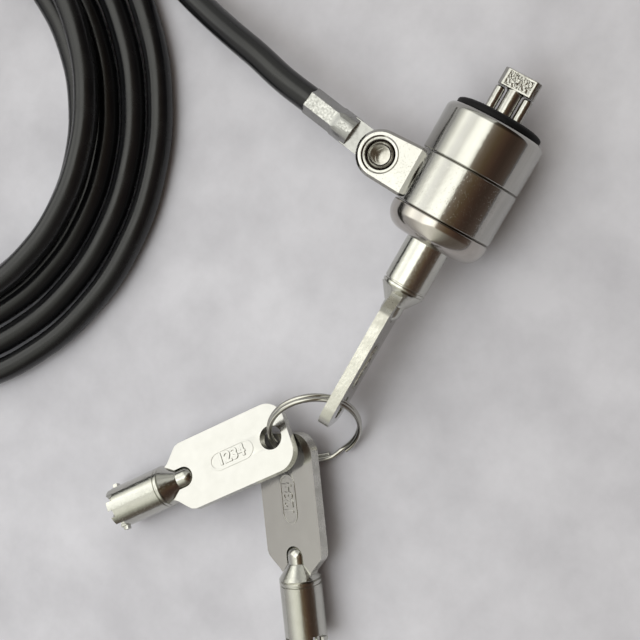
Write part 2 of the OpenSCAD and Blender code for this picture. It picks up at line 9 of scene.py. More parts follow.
import bmesh
import bpy
from mathutils import Euler, Matrix, Vector, noise

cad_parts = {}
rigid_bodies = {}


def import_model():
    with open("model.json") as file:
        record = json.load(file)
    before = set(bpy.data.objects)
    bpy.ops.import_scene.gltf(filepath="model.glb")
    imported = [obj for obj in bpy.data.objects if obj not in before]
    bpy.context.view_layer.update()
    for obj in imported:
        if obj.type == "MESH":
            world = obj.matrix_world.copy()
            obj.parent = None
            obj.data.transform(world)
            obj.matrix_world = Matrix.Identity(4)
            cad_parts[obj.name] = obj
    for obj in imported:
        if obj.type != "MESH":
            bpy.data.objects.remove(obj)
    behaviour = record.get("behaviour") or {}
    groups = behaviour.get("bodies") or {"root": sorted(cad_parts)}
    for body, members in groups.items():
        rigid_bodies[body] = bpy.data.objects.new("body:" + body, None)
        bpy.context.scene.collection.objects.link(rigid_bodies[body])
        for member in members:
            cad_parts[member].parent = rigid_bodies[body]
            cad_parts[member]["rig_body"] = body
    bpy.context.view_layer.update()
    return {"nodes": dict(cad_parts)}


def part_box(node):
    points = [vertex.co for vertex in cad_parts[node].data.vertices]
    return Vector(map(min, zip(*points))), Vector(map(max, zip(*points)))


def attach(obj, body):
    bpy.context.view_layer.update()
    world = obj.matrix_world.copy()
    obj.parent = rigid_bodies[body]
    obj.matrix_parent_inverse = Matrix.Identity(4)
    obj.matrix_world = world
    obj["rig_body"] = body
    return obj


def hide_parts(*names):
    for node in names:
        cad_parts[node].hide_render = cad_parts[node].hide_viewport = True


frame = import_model()
nodes = frame["nodes"]
MM = 0.001


# ---- Lock cylinder -------------------------------------------------------------------------
# Turned brass sleeve and plug, with steel pins, springs and clip, and the cable's rope core. All of
# it is closed in by the shells and the fitting, so the CAD pieces stay, in plain workshop finishes.

def linear(hex_colour):
    """The linear colour that a shader reads, from an sRGB hex value."""
    channels = [int(hex_colour[i:i + 2], 16) / 255 for i in (1, 3, 5)]
    return [c / 12.92 if c <= 0.04045 else ((c + 0.055) / 1.055) ** 2.4 for c in channels] + [1.0]


def add(tree, kind, sockets=None, **settings):
    """Adds one node: settings are its properties, sockets its values or the outputs that feed them."""
    node = tree.nodes.new(kind)
    for name, value in settings.items():
        setattr(node, name, value)
    for name, value in (sockets or {}).items():
        if isinstance(value, bpy.types.NodeSocket):
            tree.links.new(value, node.inputs[name])
        else:
            node.inputs[name].default_value = value
    return node


def per_mm(size):
    """Scale of a pattern whose features are this many millimetres apart, on coordinates in metres."""
    return 1000.0 / size


def new_material(name, **shader):
    """A material with its shader's plain values set, and its node tree and shader."""
    material = bpy.data.materials.new(name)
    material.use_nodes = True
    tree = material.node_tree
    bsdf = tree.nodes["Principled BSDF"]
    for socket, value in shader.items():
        bsdf.inputs[socket.replace("_", " ")].default_value = value
    return material, tree, bsdf


PIT_PATCH = 3.5


def metal(name, light, dark, rough, stain=3.0, ripple=(1.6, 0.004), grain=(0.12, 0.0012),
          stretch=(1, 1, 1), place=((0, 0, 0), (0, 0, 0)), pits=None):
    """A metal finish: colour clouds from light to dark, roughness clouds, a slow ripple and a fine grain.

    rough is the least and most roughness, and stain the size of the clouds in millimetres. ripple and
    grain are (size, height) in millimetres, stretch draws the grain out along an axis, and place is
    where the piece's own axes stand (location in metres, turn in degrees). pits are small
    round hollows (spacing, radius, depth in millimetres), such as a casting leaves, in patches that are
    PIT_PATCH millimetres apart. Polishing marks are finer than any of these grains, which are drawn as
    coarse as they need to show.
    """
    material, tree, bsdf = new_material(name, Metallic=1.0)
    coords = add(tree, "ShaderNodeTexCoord")
    local = add(tree, "ShaderNodeMapping", {"Vector": coords.outputs["Object"], "Location": place[0],
                "Rotation": [math.radians(a) for a in place[1]]}, vector_type="TEXTURE").outputs[0]
    clouds = add(tree, "ShaderNodeTexNoise", {"Vector": local, "Scale": per_mm(stain), "Detail": 4.0})
    colour = add(tree, "ShaderNodeMix", {0: clouds.outputs["Fac"], 6: linear(light), 7: linear(dark)},
                 data_type="RGBA")
    tree.links.new(colour.outputs[2], bsdf.inputs["Base Color"])
    drawn = add(tree, "ShaderNodeMapping", {"Vector": local, "Scale": stretch})
    fine = add(tree, "ShaderNodeTexNoise", {"Vector": drawn.outputs[0], "Scale": per_mm(grain[0]),
               "Detail": 3.0})
    # The two patterns together mostly lie between 0.7 and 1.3
    worn = add(tree, "ShaderNodeMath", {0: clouds.outputs["Fac"], 1: fine.outputs["Fac"]}, operation="ADD")
    spread = add(tree, "ShaderNodeMapRange", {"Value": worn.outputs[0], "From Min": 0.7, "From Max": 1.3,
                 "To Min": rough[0], "To Max": rough[1]})
    tree.links.new(spread.outputs[0], bsdf.inputs["Roughness"])
    slow = add(tree, "ShaderNodeTexNoise", {"Vector": local, "Scale": per_mm(ripple[0]), "Detail": 1.0})
    waves = add(tree, "ShaderNodeBump", {"Height": slow.outputs["Fac"], "Distance": ripple[1] * MM})
    bumps = add(tree, "ShaderNodeBump", {"Height": fine.outputs["Fac"], "Distance": grain[1] * MM,
                "Normal": waves.outputs[0]})
    if pits:
        cells = add(tree, "ShaderNodeTexVoronoi", {"Vector": local, "Scale": per_mm(pits[0])})
        hollow = add(tree, "ShaderNodeMapRange", {"Value": cells.outputs["Distance"],
                     "From Max": pits[1] / pits[0]}, interpolation_type="SMOOTHSTEP")
        chance = add(tree, "ShaderNodeSeparateColor", {0: cells.outputs["Color"]})
        patches = add(tree, "ShaderNodeTexNoise", {"Vector": local, "Scale": per_mm(PIT_PATCH),
                      "Detail": 1.0})
        plain = add(tree, "ShaderNodeMath", {0: patches.outputs["Fac"], 1: chance.outputs[0]},
                    operation="GREATER_THAN")
        height = add(tree, "ShaderNodeMath", {0: hollow.outputs[0], 1: plain.outputs[0]},
                     operation="MAXIMUM")
        bumps = add(tree, "ShaderNodeBump", {"Height": height.outputs[0], "Distance": pits[2] * MM,
                    "Normal": bumps.outputs[0]})
    tree.links.new(bumps.outputs[0], bsdf.inputs["Normal"])
    return material


def finish(piece, material):
    """Puts one material on a piece or CAD node."""
    piece.data.materials.clear()
    piece.data.materials.append(material)


# Turning leaves fine rings about the axis. The sleeve is coloured near black as painted shade, so the gaps
# between the shells are dark lines. Drawn steel is grey and satin.
turned_brass = metal("turned_brass", "#C9A961", "#A8874A", (0.22, 0.34), stretch=(6, 1, 1))
sleeve_painted_gap_shade = metal("sleeve_painted_gap_shade", "#3A2E1E", "#241C14", (0.4, 0.55), stretch=(6, 1, 1))
drawn_steel = metal("drawn_steel", "#B4B6B8", "#97999C", (0.2, 0.32), stretch=(1, 1, 6))
finish(nodes["tumbler_sleeve"], sleeve_painted_gap_shade)
finish(nodes["plug"], turned_brass)
for name in ("plug_clip", "retaining_pin", "key_pins", "driver_pins", "pin_springs", "cable_core"):
    finish(nodes[name], drawn_steel)


# ---- Front shell, rear cap and swivel collar -----------------------------------------------
# Zinc die castings under bright nickel plate. The plate is nearly a mirror, so what shows is the
# casting below it: a slow ripple, small pits, and corners that are never quite sharp.

# A copied mesh has points this close made one, faces this level made one, and no face with more corners
SAME_POINT = 0.001 * MM
SAME_PLANE = math.radians(0.5)
MOST_CORNERS = 8


def placed(name, data):
    """An object with this data, in the scene."""
    piece = bpy.data.objects.new(name, data)
    bpy.context.scene.collection.objects.link(piece)
    return piece


def stands_for(piece, node):
    """The piece rides where its CAD node rides, and hides the node."""
    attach(piece, nodes[node]["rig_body"])
    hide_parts(node)
    return piece


def copied(node, name):
    """A copy of a CAD node's mesh with its loose triangles joined, that stands for the node."""
    mesh = nodes[node].data.copy()
    mesh.name = name
    if "custom_normal" in mesh.attributes:
        mesh.attributes.remove(mesh.attributes["custom_normal"])
    piece = placed(name, mesh)
    bm = bmesh.new()
    bm.from_mesh(mesh)
    bmesh.ops.remove_doubles(bm, verts=bm.verts, dist=SAME_POINT)
    bmesh.ops.dissolve_limit(bm, angle_limit=SAME_PLANE, verts=bm.verts, edges=bm.edges)
    bmesh.ops.triangulate(bm, faces=[f for f in bm.faces if len(f.verts) > MOST_CORNERS])
    bm.to_mesh(mesh)
    bm.free()
    return stands_for(piece, node)


def rounded(piece, width, segments=3, angle=30):
    """Rounds the piece's sharp edges by a width in millimetres, and shades it smooth."""
    piece.data.shade_smooth()
    edge = piece.modifiers.new("rounded", "BEVEL")
    edge.width = width * MM
    edge.segments = segments
    edge.limit_method = "ANGLE"
    edge.angle_limit = math.radians(angle)
    piece.modifiers.new("normals", "WEIGHTED_NORMAL").keep_sharp = True
    return piece


# The front shell is the best polished, so its mirror is only wavy. The collar's casting is more porous
# and shows fine pits. The cap's plate is a little duller and warmer, with few and shallow pits.
nickel_plate = metal("nickel_plate", "#B6B5B1", "#ACABA6", (0.06, 0.11), ripple=(1.5, 0.012),
                     grain=(0.16, 0.001))
pitted_plate = metal("pitted_nickel_plate", "#B6B5B1", "#ACABA6", (0.06, 0.11), ripple=(0.7, 0.01),
                     grain=(0.16, 0.001), pits=(0.24, 0.085, 0.014))
cap_plate = metal("cap_plate", "#BAB6B1", "#B0ABA5", (0.08, 0.15), ripple=(1.8, 0.012), grain=(0.18, 0.001),
                  pits=(0.4, 0.1, 0.008))

front = rounded(copied("front_shell", "front_casing"), 0.08)
finish(front, nickel_plate)
collar = rounded(copied("swivel_collar", "collar_casting"), 0.1)
# Painted shade: the plate's colour goes near black in the recess round the rivet, out to its wall
RIVET_AXIS = (-15.17 * MM, 14.4 * MM, 0)
RECESS_SHADE_R = 2.6 * MM
RECESS_SHADE_FADE = 0.08 * MM
tree = pitted_plate.node_tree
bsdf = tree.nodes["Principled BSDF"]
spot = add(tree, "ShaderNodeSeparateXYZ", {0: add(tree, "ShaderNodeTexCoord").outputs["Object"]})
flat = add(tree, "ShaderNodeCombineXYZ", {"X": spot.outputs["X"], "Y": spot.outputs["Y"]})
reach = add(tree, "ShaderNodeVectorMath", {0: flat.outputs[0], 1: RIVET_AXIS}, operation="DISTANCE")
recess_shade = add(tree, "ShaderNodeMapRange", {"Value": reach.outputs["Value"], "From Min": RECESS_SHADE_R + RECESS_SHADE_FADE,
            "From Max": RECESS_SHADE_R})
plate_colour = bsdf.inputs["Base Color"].links[0].from_socket
# The near-black painted shade is mixed into the plate's colour over the recess
plate_in_recess_shade = add(tree, "ShaderNodeMix", {0: recess_shade.outputs[0], 6: plate_colour, 7: linear("#17130F")},
            data_type="RGBA")
tree.links.new(plate_in_recess_shade.outputs[2], bsdf.inputs["Base Color"])
finish(collar, pitted_plate)
cap = rounded(copied("rear_cap", "rear_dome"), 0.08)
finish(cap, cap_plate)


# ---- Guide plate and T-bar -----------------------------------------------------------------
# Hardened steel. The plate carries two fixed posts that fill the slot beside the shaft. The T-bar's
# head is investment cast: its long edges are chamfered and its broad faces keep a grainy sunk panel.

# The cast skin is lumpy and unevenly stained under its plate. In the sunk panels, out of the polishing
# wheel's reach, it is left as cast in coarse grains, coloured pale to near black, the dark painted shade for
# their hollows.
cast_steel = metal("plated_cast_steel", "#BDBCB8", "#96958F", (0.1, 0.22), stain=0.9, ripple=(0.5, 0.03),
                   grain=(0.14, 0.003))
cast_panel = metal("as_cast_panel_painted_shade", "#DAD9D4", "#1E1C18", (0.2, 0.35), stain=0.5, ripple=(0.3, 0.03),
                   grain=(0.16, 0.02))
posts = rounded(copied("guide_plate", "guide_posts"), 0.12)
finish(posts, cast_steel)


def from_bmesh(bm, name):
    """The bmesh as an object in the scene."""
    mesh = bpy.data.meshes.new(name)
    bm.to_mesh(mesh)
    bm.free()
    return placed(name, mesh)


def bevel(bm, edges, width, segments):
    """Takes edges off by a width in metres: flat with one segment, round with more."""
    bmesh.ops.bevel(bm, geom=edges, offset=width, offset_type="OFFSET", affect="EDGES",
                    segments=segments, profile=0.5, material=-1, clamp_overlap=True)


# The head's length, its chamfers and soft edges, the border and wall of its sunk panels, their grain,
# and the shaft. ALIGNED and FLAT are how far an edge or face must point one way to be picked.
HEAD_LEN = 3.0 * MM
T_CHAMFER = 0.7 * MM
T_EDGE = 0.16 * MM
PANEL_LEAST = 3 * MM * MM
PANEL_BORDER = 0.2 * MM
PANEL_WALL = 0.08 * MM
PANEL_DEPTH = 0.07 * MM
PANEL_CUTS = 60
GRAIN = 0.3 * MM
FINE_GRAIN = 0.45 * GRAIN
GRAIN_HEIGHT = 0.1 * MM
SHAFT_R = 1.4 * MM
SHAFT_SIDES = 64
SHAFT_BELOW = 0.02 * MM
SHAFT_SEAT = 0.2 * MM
COVE = 0.4 * MM
ALIGNED = 0.9
FLAT = 0.99
t_low, t_high = (Vector(corner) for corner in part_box("t_bar"))
under_head = t_high.x - HEAD_LEN
bm = bmesh.new()
bmesh.ops.create_cube(bm, size=1, matrix=Matrix.Translation((t_high.x - HEAD_LEN / 2, 0, 0))
                      @ Matrix.Diagonal((HEAD_LEN, t_high.y - t_low.y, t_high.z - t_low.z, 1)))
long_edges = [e for e in bm.edges if abs((e.verts[0].co - e.verts[1].co).normalized().x) > ALIGNED]
bevel(bm, long_edges, T_CHAMFER, segments=1)
bevel(bm, bm.edges[:], T_EDGE, segments=4)
for face in [f for f in bm.faces if abs(f.normal.z) > FLAT and f.calc_area() > PANEL_LEAST]:
    bmesh.ops.inset_region(bm, faces=[face], thickness=PANEL_BORDER, use_even_offset=True)
    bmesh.ops.inset_region(bm, faces=[face], thickness=PANEL_WALL, depth=-PANEL_DEPTH, use_even_offset=True)
    grid = bmesh.ops.subdivide_edges(bm, edges=face.edges[:], cuts=PANEL_CUTS, use_grid_fill=True)
    side = 1 if sum(v.co.z for v in face.verts) > 0 else -1
    for cell in [f for f in grid["geom_inner"] if isinstance(f, bmesh.types.BMFace)] + [face]:
        cell.material_index = 1
    for vert in {v for v in grid["geom_inner"] if isinstance(v, bmesh.types.BMVert)}:
        if len(vert.link_faces) == 4 and all(abs(f.normal.z) > ALIGNED for f in vert.link_faces):
            bump = noise.noise(vert.co / GRAIN) + 0.5 * noise.noise(vert.co / FINE_GRAIN)
            vert.co.z += side * GRAIN_HEIGHT * bump
# The shaft is round up to its cove, which spreads it sideways into the head. It stays just below the
# head's broad faces, and reaches a little way in.
stations = [(under_head - COVE, 0.0)]
stations += [(under_head - COVE * (1 - math.sin(a)), COVE * (1 - math.cos(a)))
             for a in (math.radians(15 * i) for i in range(1, 7))] + [(under_head + SHAFT_SEAT, COVE)]
on_axis = Matrix.Translation((t_low.x, 0, 0)) @ Matrix.Rotation(math.pi / 2, 4, "Y")
ring = bmesh.ops.create_circle(bm, cap_ends=True, radius=SHAFT_R, segments=SHAFT_SIDES,
                               matrix=on_axis)["verts"]
bmesh.ops.scale(bm, verts=ring, vec=(1, 1, 1 - SHAFT_BELOW / SHAFT_R))
rim = list({e for v in ring for e in v.link_edges})
sharp = rim[:]
last_x, last_spread = t_low.x, 0.0
for x, spread in stations:
    grown = bmesh.ops.extrude_edge_only(bm, edges=rim)["geom"]
    ring = [v for v in grown if isinstance(v, bmesh.types.BMVert)]
    rim = [e for e in grown if isinstance(e, bmesh.types.BMEdge)]
    bmesh.ops.translate(bm, verts=ring, vec=(x - last_x, 0, 0))
    bmesh.ops.scale(bm, verts=ring, vec=(1, (SHAFT_R + spread) / (SHAFT_R + last_spread), 1))
    last_x, last_spread = x, spread
bmesh.ops.holes_fill(bm, edges=rim, sides=0)
for edge in sharp + rim:
    edge.smooth = False
bmesh.ops.recalc_face_normals(bm, faces=bm.faces)
t_bar = stands_for(from_bmesh(bm, "t_bar_forging"), "t_bar")
t_bar.data.shade_smooth()
t_bar.modifiers.new("normals", "WEIGHTED_NORMAL").keep_sharp = True
finish(t_bar, cast_steel)
t_bar.data.materials.append(cast_panel)


# ---- Face washer ---------------------------------------------------------------------------
# Moulded black nitrile rubber, pressed between the shell and the device. It is matt, with a faint
# bloom and dust, and its moulded edges are soft.

# Rubber throws back little light, and its pores scatter that. They are drawn coarser than they are.
rubber, tree, bsdf = new_material("nitrile_rubber", Specular_IOR_Level=0.22)
coords = add(tree, "ShaderNodeTexCoord")
bloom = add(tree, "ShaderNodeTexNoise", {"Vector": coords.outputs["Object"], "Scale": per_mm(1.5),
            "Detail": 5.0})
shade = add(tree, "ShaderNodeMapRange", {"Value": bloom.outputs["Fac"], "From Min": 0.35, "From Max": 0.7})
colour = add(tree, "ShaderNodeMix", {0: shade.outputs[0], 6: linear("#080709"), 7: linear("#131214")},
             data_type="RGBA")
tree.links.new(colour.outputs[2], bsdf.inputs["Base Color"])
dull = add(tree, "ShaderNodeMapRange", {"Value": bloom.outputs["Fac"], "To Min": 0.55, "To Max": 0.8})
tree.links.new(dull.outputs[0], bsdf.inputs["Roughness"])
pores = add(tree, "ShaderNodeTexNoise", {"Vector": coords.outputs["Object"], "Scale": per_mm(0.15),
            "Detail": 2.0})
skin = add(tree, "ShaderNodeBump", {"Height": pores.outputs["Fac"], "Distance": 0.006 * MM})
tree.links.new(skin.outputs[0], bsdf.inputs["Normal"])
washer = rounded(copied("face_washer", "washer_disc"), 0.1)
finish(washer, rubber)


# ---- Hinge rivet and cable fitting ---------------------------------------------------------
# A semi-tubular steel rivet, rolled over in the upper ear's recess. The fitting is turned from
# steel bar, flattened to a tongue for the hinge, and its barrel is pressed on the wire rope.

# Rolling burnishes the rivet. The fitting's plate is satin, and the press has frosted its two flats; their
# colour speckles from pale to dark as painted glints and shade of the frost.
rivet_steel = metal("rolled_rivet_steel", "#BDBBB5", "#96938C", (0.12, 0.22), stain=1.5,
                    ripple=(0.7, 0.004), grain=(0.1, 0.0015))
rivet = rounded(copied("hinge_rivet", "rolled_rivet"), 0.12, angle=25)
finish(rivet, rivet_steel)
ferrule_steel = metal("pressed_ferrule_steel", "#A6A6A4", "#8C8C8A", (0.2, 0.3), stain=1.2,
                      ripple=(0.9, 0.012), grain=(0.12, 0.002))
pressed_flat = metal("frosted_flat_painted_sparkle", "#CFCFCC", "#4A4A48", (0.2, 0.34), stain=0.4,
                     ripple=(0.3, 0.012), grain=(0.2, 0.016))
ferrule = rounded(copied("cable_fitting", "pressed_ferrule"), 0.14)
finish(ferrule, ferrule_steel)
ferrule.data.materials.append(pressed_flat)
CRIMP_FROM = 21.5 * MM
FLAT_UP = 0.98
for face in ferrule.data.polygons:
    if abs(face.normal.z) > FLAT_UP and face.center.y > CRIMP_FROM:
        face.material_index = 1


# ---- Cable ---------------------------------------------------------------------------------
# Wire rope in an extruded jacket of black PVC, 4.8 mm thick. It leaves the fitting, winds into a flat
# coil on the table and out again on top, and its far end is a loop closed by a pressed sleeve.

CABLE_D = 4.8 * MM
# The route in millimetres: from the fitting down to the table, round the coil, and out to the loop
cable_route = [(-12.8, 30.4, 0), (-11.9, 36.5, 0), (-10.4, 43, -0.4), (-9.2, 49.5, -1.4), (-7.8, 56, -2.8),
               (-6, 63, -4.4), (-3.8, 70, -5.8), (-1.4, 77, -6.5), (1.1, 84, -6.6), (3.5, 91, -6.6),
               (5.2, 96.6, -6.6), (5.6, 100.2, -6.6)]
COIL_CENTRE = (-53, 105)
COIL_R = 58.6
COIL_PITCH = 5.3
TURNS_IN = 4
TURNS = 5
COIL_STEPS = 24
COIL_Z = -6.6


def coil_point(t):
    """Centre line of the coil after t turns: in on the table, up where it turns back, out on top."""
    r = COIL_R - COIL_PITCH * min(t, 2 * TURNS_IN - t)
    climb = min(max((t - TURNS_IN) * 2 + 0.5, 0), 1)
    a = 2 * math.pi * t
    return (COIL_CENTRE[0] + r * math.cos(a), COIL_CENTRE[1] + r * math.sin(a),
            COIL_Z + COIL_PITCH * climb * climb * (3 - 2 * climb))


coil = [coil_point(i / COIL_STEPS) for i in range(TURNS * COIL_STEPS + 1)]
tail_route = [(-10.3, 109.8, -1.3), (-10.8, 118, -0.9), (-12.8, 126, 0.6), (-16.6, 133.5, 2.6),
              (-22.2, 140, 4), (-29.5, 144.6, 4.2), (-38, 147.1, 4.2), (-46, 147.65, 4.2)]
SLEEVE_LEN = 12
SLEEVE_PITCH = 5.3
END_SHORT = 0.5
LOOP_R = 19.5
LOOP_ENTRY_R = 25
LOOP_STEPS = 5
# Half of the loop about its own axis: an entry curve, then the loop's arc
loop_turn = math.acos((SLEEVE_PITCH / 2 + LOOP_ENTRY_R) / (LOOP_ENTRY_R + LOOP_R))
half = []
for i in range(LOOP_STEPS + 1):
    a = loop_turn * i / LOOP_STEPS
    half.append((LOOP_ENTRY_R * math.sin(a), SLEEVE_PITCH / 2 + LOOP_ENTRY_R * (1 - math.cos(a))))
for i in range(1, 2 * LOOP_STEPS + 1):
    a = (math.pi / 2 + loop_turn) * i / (2 * LOOP_STEPS) - loop_turn
    half.append(((LOOP_ENTRY_R + LOOP_R) * math.sin(loop_turn) + LOOP_R * math.sin(a), LOOP_R * math.cos(a)))
start_x, start_y, loop_z = tail_route[-1][0] - SLEEVE_LEN, tail_route[-1][1], tail_route[-1][2]
axis_y = start_y - SLEEVE_PITCH / 2
loop_out = [(start_x - x, axis_y + y, loop_z) for x, y in half]
loop_back = [(x, 2 * axis_y - y, loop_z) for x, y, _ in reversed(loop_out[:-1])]
loop_end = (loop_back[-1][0] + SLEEVE_LEN - END_SHORT, loop_back[-1][1], loop_z)
route = [Vector(p) * MM for p in cable_route + coil + tail_route + loop_out + loop_back + [loop_end]]

line = bpy.data.curves.new("cable", "CURVE")
line.dimensions = "3D"
line.bevel_depth = CABLE_D / 2 / MM     # in millimetres, which each point's radius turns to metres
line.bevel_resolution = 5
line.resolution_u = 6
line.use_fill_caps = True
spline = line.splines.new("BEZIER")
spline.bezier_points.add(len(route) - 1)
for point, place in zip(spline.bezier_points, route):
    point.co = place
    point.handle_left_type = point.handle_right_type = "AUTO"
    point.radius = MM
cable = placed("cable", line)
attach(cable, "cable")
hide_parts("cable_stretch", "cable_coil", "end_loop")

# Extruded PVC is black and glossy: a sharp highlight with a slow waver, hazed a little by handling
jacket, tree, bsdf = new_material("glossy_pvc_jacket", IOR=1.53, Specular_IOR_Level=0.42)
coords = add(tree, "ShaderNodeTexCoord")
handling = add(tree, "ShaderNodeTexNoise", {"Vector": coords.outputs["Object"], "Scale": per_mm(4),
               "Detail": 4.0})
colour = add(tree, "ShaderNodeMix", {0: handling.outputs["Fac"], 6: linear("#0D0D0F"), 7: linear("#161618")},
             data_type="RGBA")
tree.links.new(colour.outputs[2], bsdf.inputs["Base Color"])
sheen = add(tree, "ShaderNodeMapRange", {"Value": handling.outputs["Fac"], "From Min": 0.3, "From Max": 0.7,
            "To Min": 0.2, "To Max": 0.3})
tree.links.new(sheen.outputs[0], bsdf.inputs["Roughness"])
waver = add(tree, "ShaderNodeTexNoise", {"Vector": coords.outputs["Object"], "Scale": per_mm(6),
            "Detail": 1.0})
flow = add(tree, "ShaderNodeBump", {"Height": waver.outputs["Fac"], "Distance": 0.03 * MM})
tree.links.new(flow.outputs[0], bsdf.inputs["Normal"])
finish(cable, jacket)

sleeve = rounded(copied("loop_sleeve", "loop_ferrule"), 0.25)
finish(sleeve, ferrule_steel)


# ---- Keys ----------------------------------------------------------------------------------
# Each key is a turned steel barrel with a stamped steel bow pressed on its nose. The two are plated
# with nickel together, slightly warm in colour. A plain number stands up in each oval.

# A key from its tip: its end, the middle of its hole, and the middle of the oval. BOW_FACE is half the
# bow's thickness, and the digits are in millimetres.
KEY_LEN = 38.6 * MM
HOLE_REACH = 35 * MM
BOW_FACE = 1 * MM
OVAL_MIDDLE = KEY_LEN - 11.5 * MM
OVAL_REACH = Vector((4.2, 1.9)) * MM
OVAL_STRETCH = 1.15
OVAL_SHIFT = 0.6 * MM
OVAL_LEVEL = BOW_FACE - 0.02 * MM
DIGIT_SIZE = 3.0
DIGIT_RELIEF = 0.14
DIGIT_EDGE = 0.05
SIDEWAYS = 0.5
# Where the three keys hang: the turns are about X, Y and Z in degrees, and the ring passes the holes
ring_centre = Vector((-63.29, 1.7, -2.8)) * MM
key_turns = {1: (90, 0, 180), 2: (-18, -4, -34.5), 3: (-25, 1, 36)}
holes = {1: ring_centre + Vector((6.65, -1.7, 2.8)) * MM, 2: ring_centre + Vector((-5.45, 5.7, 0.45)) * MM,
         3: ring_centre + Vector((-7.1, 2.55, -2.3)) * MM}


def as_mesh(piece):
    """The mesh that a text or curve object makes. The object itself is taken away."""
    mesh = bpy.data.meshes.new_from_object(piece.evaluated_get(bpy.context.evaluated_depsgraph_get()))
    bpy.data.objects.remove(piece)
    return mesh


def turned(degrees_xyz):
    """The turn of a key or ring as a matrix."""
    return Euler([math.radians(a) for a in degrees_xyz], "XYZ").to_matrix().to_4x4()


def key_finish(name, light, dark, rough, place, **marks):
    """Nickel plate in a key's own frame, so that each key carries its own clouds, grain and pits."""
    return metal(name, light, dark, rough, stain=2.5, stretch=(0.25, 1, 1), place=place, **marks)


def stamped_number(name, frame_of_key, side):
    """The raised digits in one oval of a bow, as a mesh in the key's place."""
    letters = bpy.data.curves.new(name, "FONT")
    letters.body = "1234"
    letters.align_x = letters.align_y = "CENTER"
    letters.size = DIGIT_SIZE
    letters.extrude = DIGIT_RELIEF
    letters.offset = letters.bevel_depth = DIGIT_EDGE
    letters.resolution_u = 4
    mesh = as_mesh(placed(name, letters))
    mesh.name = name
    on_face = Matrix.Translation((OVAL_MIDDLE - OVAL_SHIFT, 0, BOW_FACE)) @ Matrix.Scale(MM, 4)
    mesh.transform(frame_of_key @ turned((side, 0, 0)) @ on_face)
    return placed(name, mesh)


for key, turn in key_turns.items():
    tip = holes[key] - HOLE_REACH * (turned(turn).to_3x3() @ Vector((1, 0, 0)))
    place = (tip, turn)
    tube = rounded(copied(f"key_{key}_tube", f"key_{key}_barrel"), 0.07)
    bow = rounded(copied(f"key_{key}_bow", f"key_{key}_stamping"), 0.28, segments=4)
    key_frame = Matrix.Translation(tip) @ turned(turn)
    # The raised oval is drawn longer, and nearer the barrel
    for vert in bow.data.vertices:
        spot = key_frame.inverted() @ vert.co
        along = spot.x - OVAL_MIDDLE
        if abs(along) < OVAL_REACH.x and abs(spot.y) < OVAL_REACH.y and abs(spot.z) > OVAL_LEVEL:
            vert.co = key_frame @ Vector((OVAL_MIDDLE + OVAL_STRETCH * along - OVAL_SHIFT, spot.y, spot.z))
    # The barrel's plate is pitted. The bow's is wavy on its faces, and satin where the stamp sheared it.
    finish(tube, key_finish(f"plated_barrel_{key}", "#C6C6C0", "#B7B6AF", (0.12, 0.2), place,
                            ripple=(0.6, 0.014), grain=(0.12, 0.003), pits=(0.22, 0.08, 0.016)))
    bow_plate = key_finish(f"plated_bow_{key}", "#C7C6C3", "#BCBBB7", (0.14, 0.22), place, ripple=(5, 0.05),
                           grain=(0.14, 0.0012), pits=(0.7, 0.07, 0.006))
    finish(bow, bow_plate)
    bow.data.materials.append(key_finish(f"sheared_edge_{key}", "#D4D3CD", "#A8A79F", (0.22, 0.36), place,
                                         ripple=(0.5, 0.012), grain=(0.2, 0.006)))
    across = turned(turn).to_3x3() @ Vector((0, 0, 1))
    for face in bow.data.polygons:
        face.material_index = 1 if abs(face.normal.dot(across)) < SIDEWAYS else 0
    for side in (0, 180):
        digits = stamped_number(f"key_{key}_number_{side}", key_frame, side)
        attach(digits, f"key_{key}")
        finish(digits, bow_plate)


# ---- Split ring ----------------------------------------------------------------------------
# Spring steel wire wound in two touching turns, with one step between them and two cut ends, and
# nickel plated. Bright, with the dark line of the gap between its turns.

# The wire is in millimetres. Its first end, the gap at each end and the step between turns are in degrees.
WIRE_D = 0.9
MEAN_R = 8.15
LEVEL = 0.43
FIRST_END = 22.1
END_GAP = 1.5
STEP = 22
WIRE_STEPS = 280
TURN = 360
ring_frame = Matrix.Translation(ring_centre) @ turned((0, 41.5, -131)) @ Matrix.Scale(MM, 4)
wire = bpy.data.curves.new("split_ring_wire", "CURVE")
wire.dimensions = "3D"
wire.bevel_depth = WIRE_D / 2
wire.bevel_resolution = 5
wire.use_fill_caps = True
spline = wire.splines.new("POLY")
spline.points.add(WIRE_STEPS)
for i, point in enumerate(spline.points):
    passed = (2 * TURN - 2 * END_GAP - STEP) * i / WIRE_STEPS
    down = min(max((passed - TURN + END_GAP + STEP) / STEP, 0), 1)
    a = math.radians(FIRST_END + passed)
    level = LEVEL * (1 - 2 * down * down * (3 - 2 * down))
    point.co = (MEAN_R * math.cos(a), MEAN_R * math.sin(a), level, 1)
mesh = as_mesh(placed("split_ring_wire", wire))
mesh.transform(ring_frame)
mesh.shade_smooth()
ring = stands_for(placed("wound_ring", mesh), "split_ring")
# Drawn wire plates to the brightest mirror of all
ring_plate = metal("plated_spring_wire", "#C4C3BE", "#A5A39C", (0.05, 0.1), stain=1.5, ripple=(0.8, 0.006),
                   grain=(0.08, 0.0008))
finish(ring, ring_plate)


# ---- Floor, light and camera ---------------------------------------------------------------
# A pale table, with a tall window on the +Y side and a dark room on the other, which the nickel
# mirrors. A soft lamp above, which the metal doesn't mirror, evens the light on the table.

FLOOR_Z = -9 * MM
FLOOR_HALF = 3.0
bm = bmesh.new()
bmesh.ops.create_grid(bm, x_segments=1, y_segments=1, size=FLOOR_HALF,
                      matrix=Matrix.Translation((0, 0, FLOOR_Z)))
floor = from_bmesh(bm, "table_top")

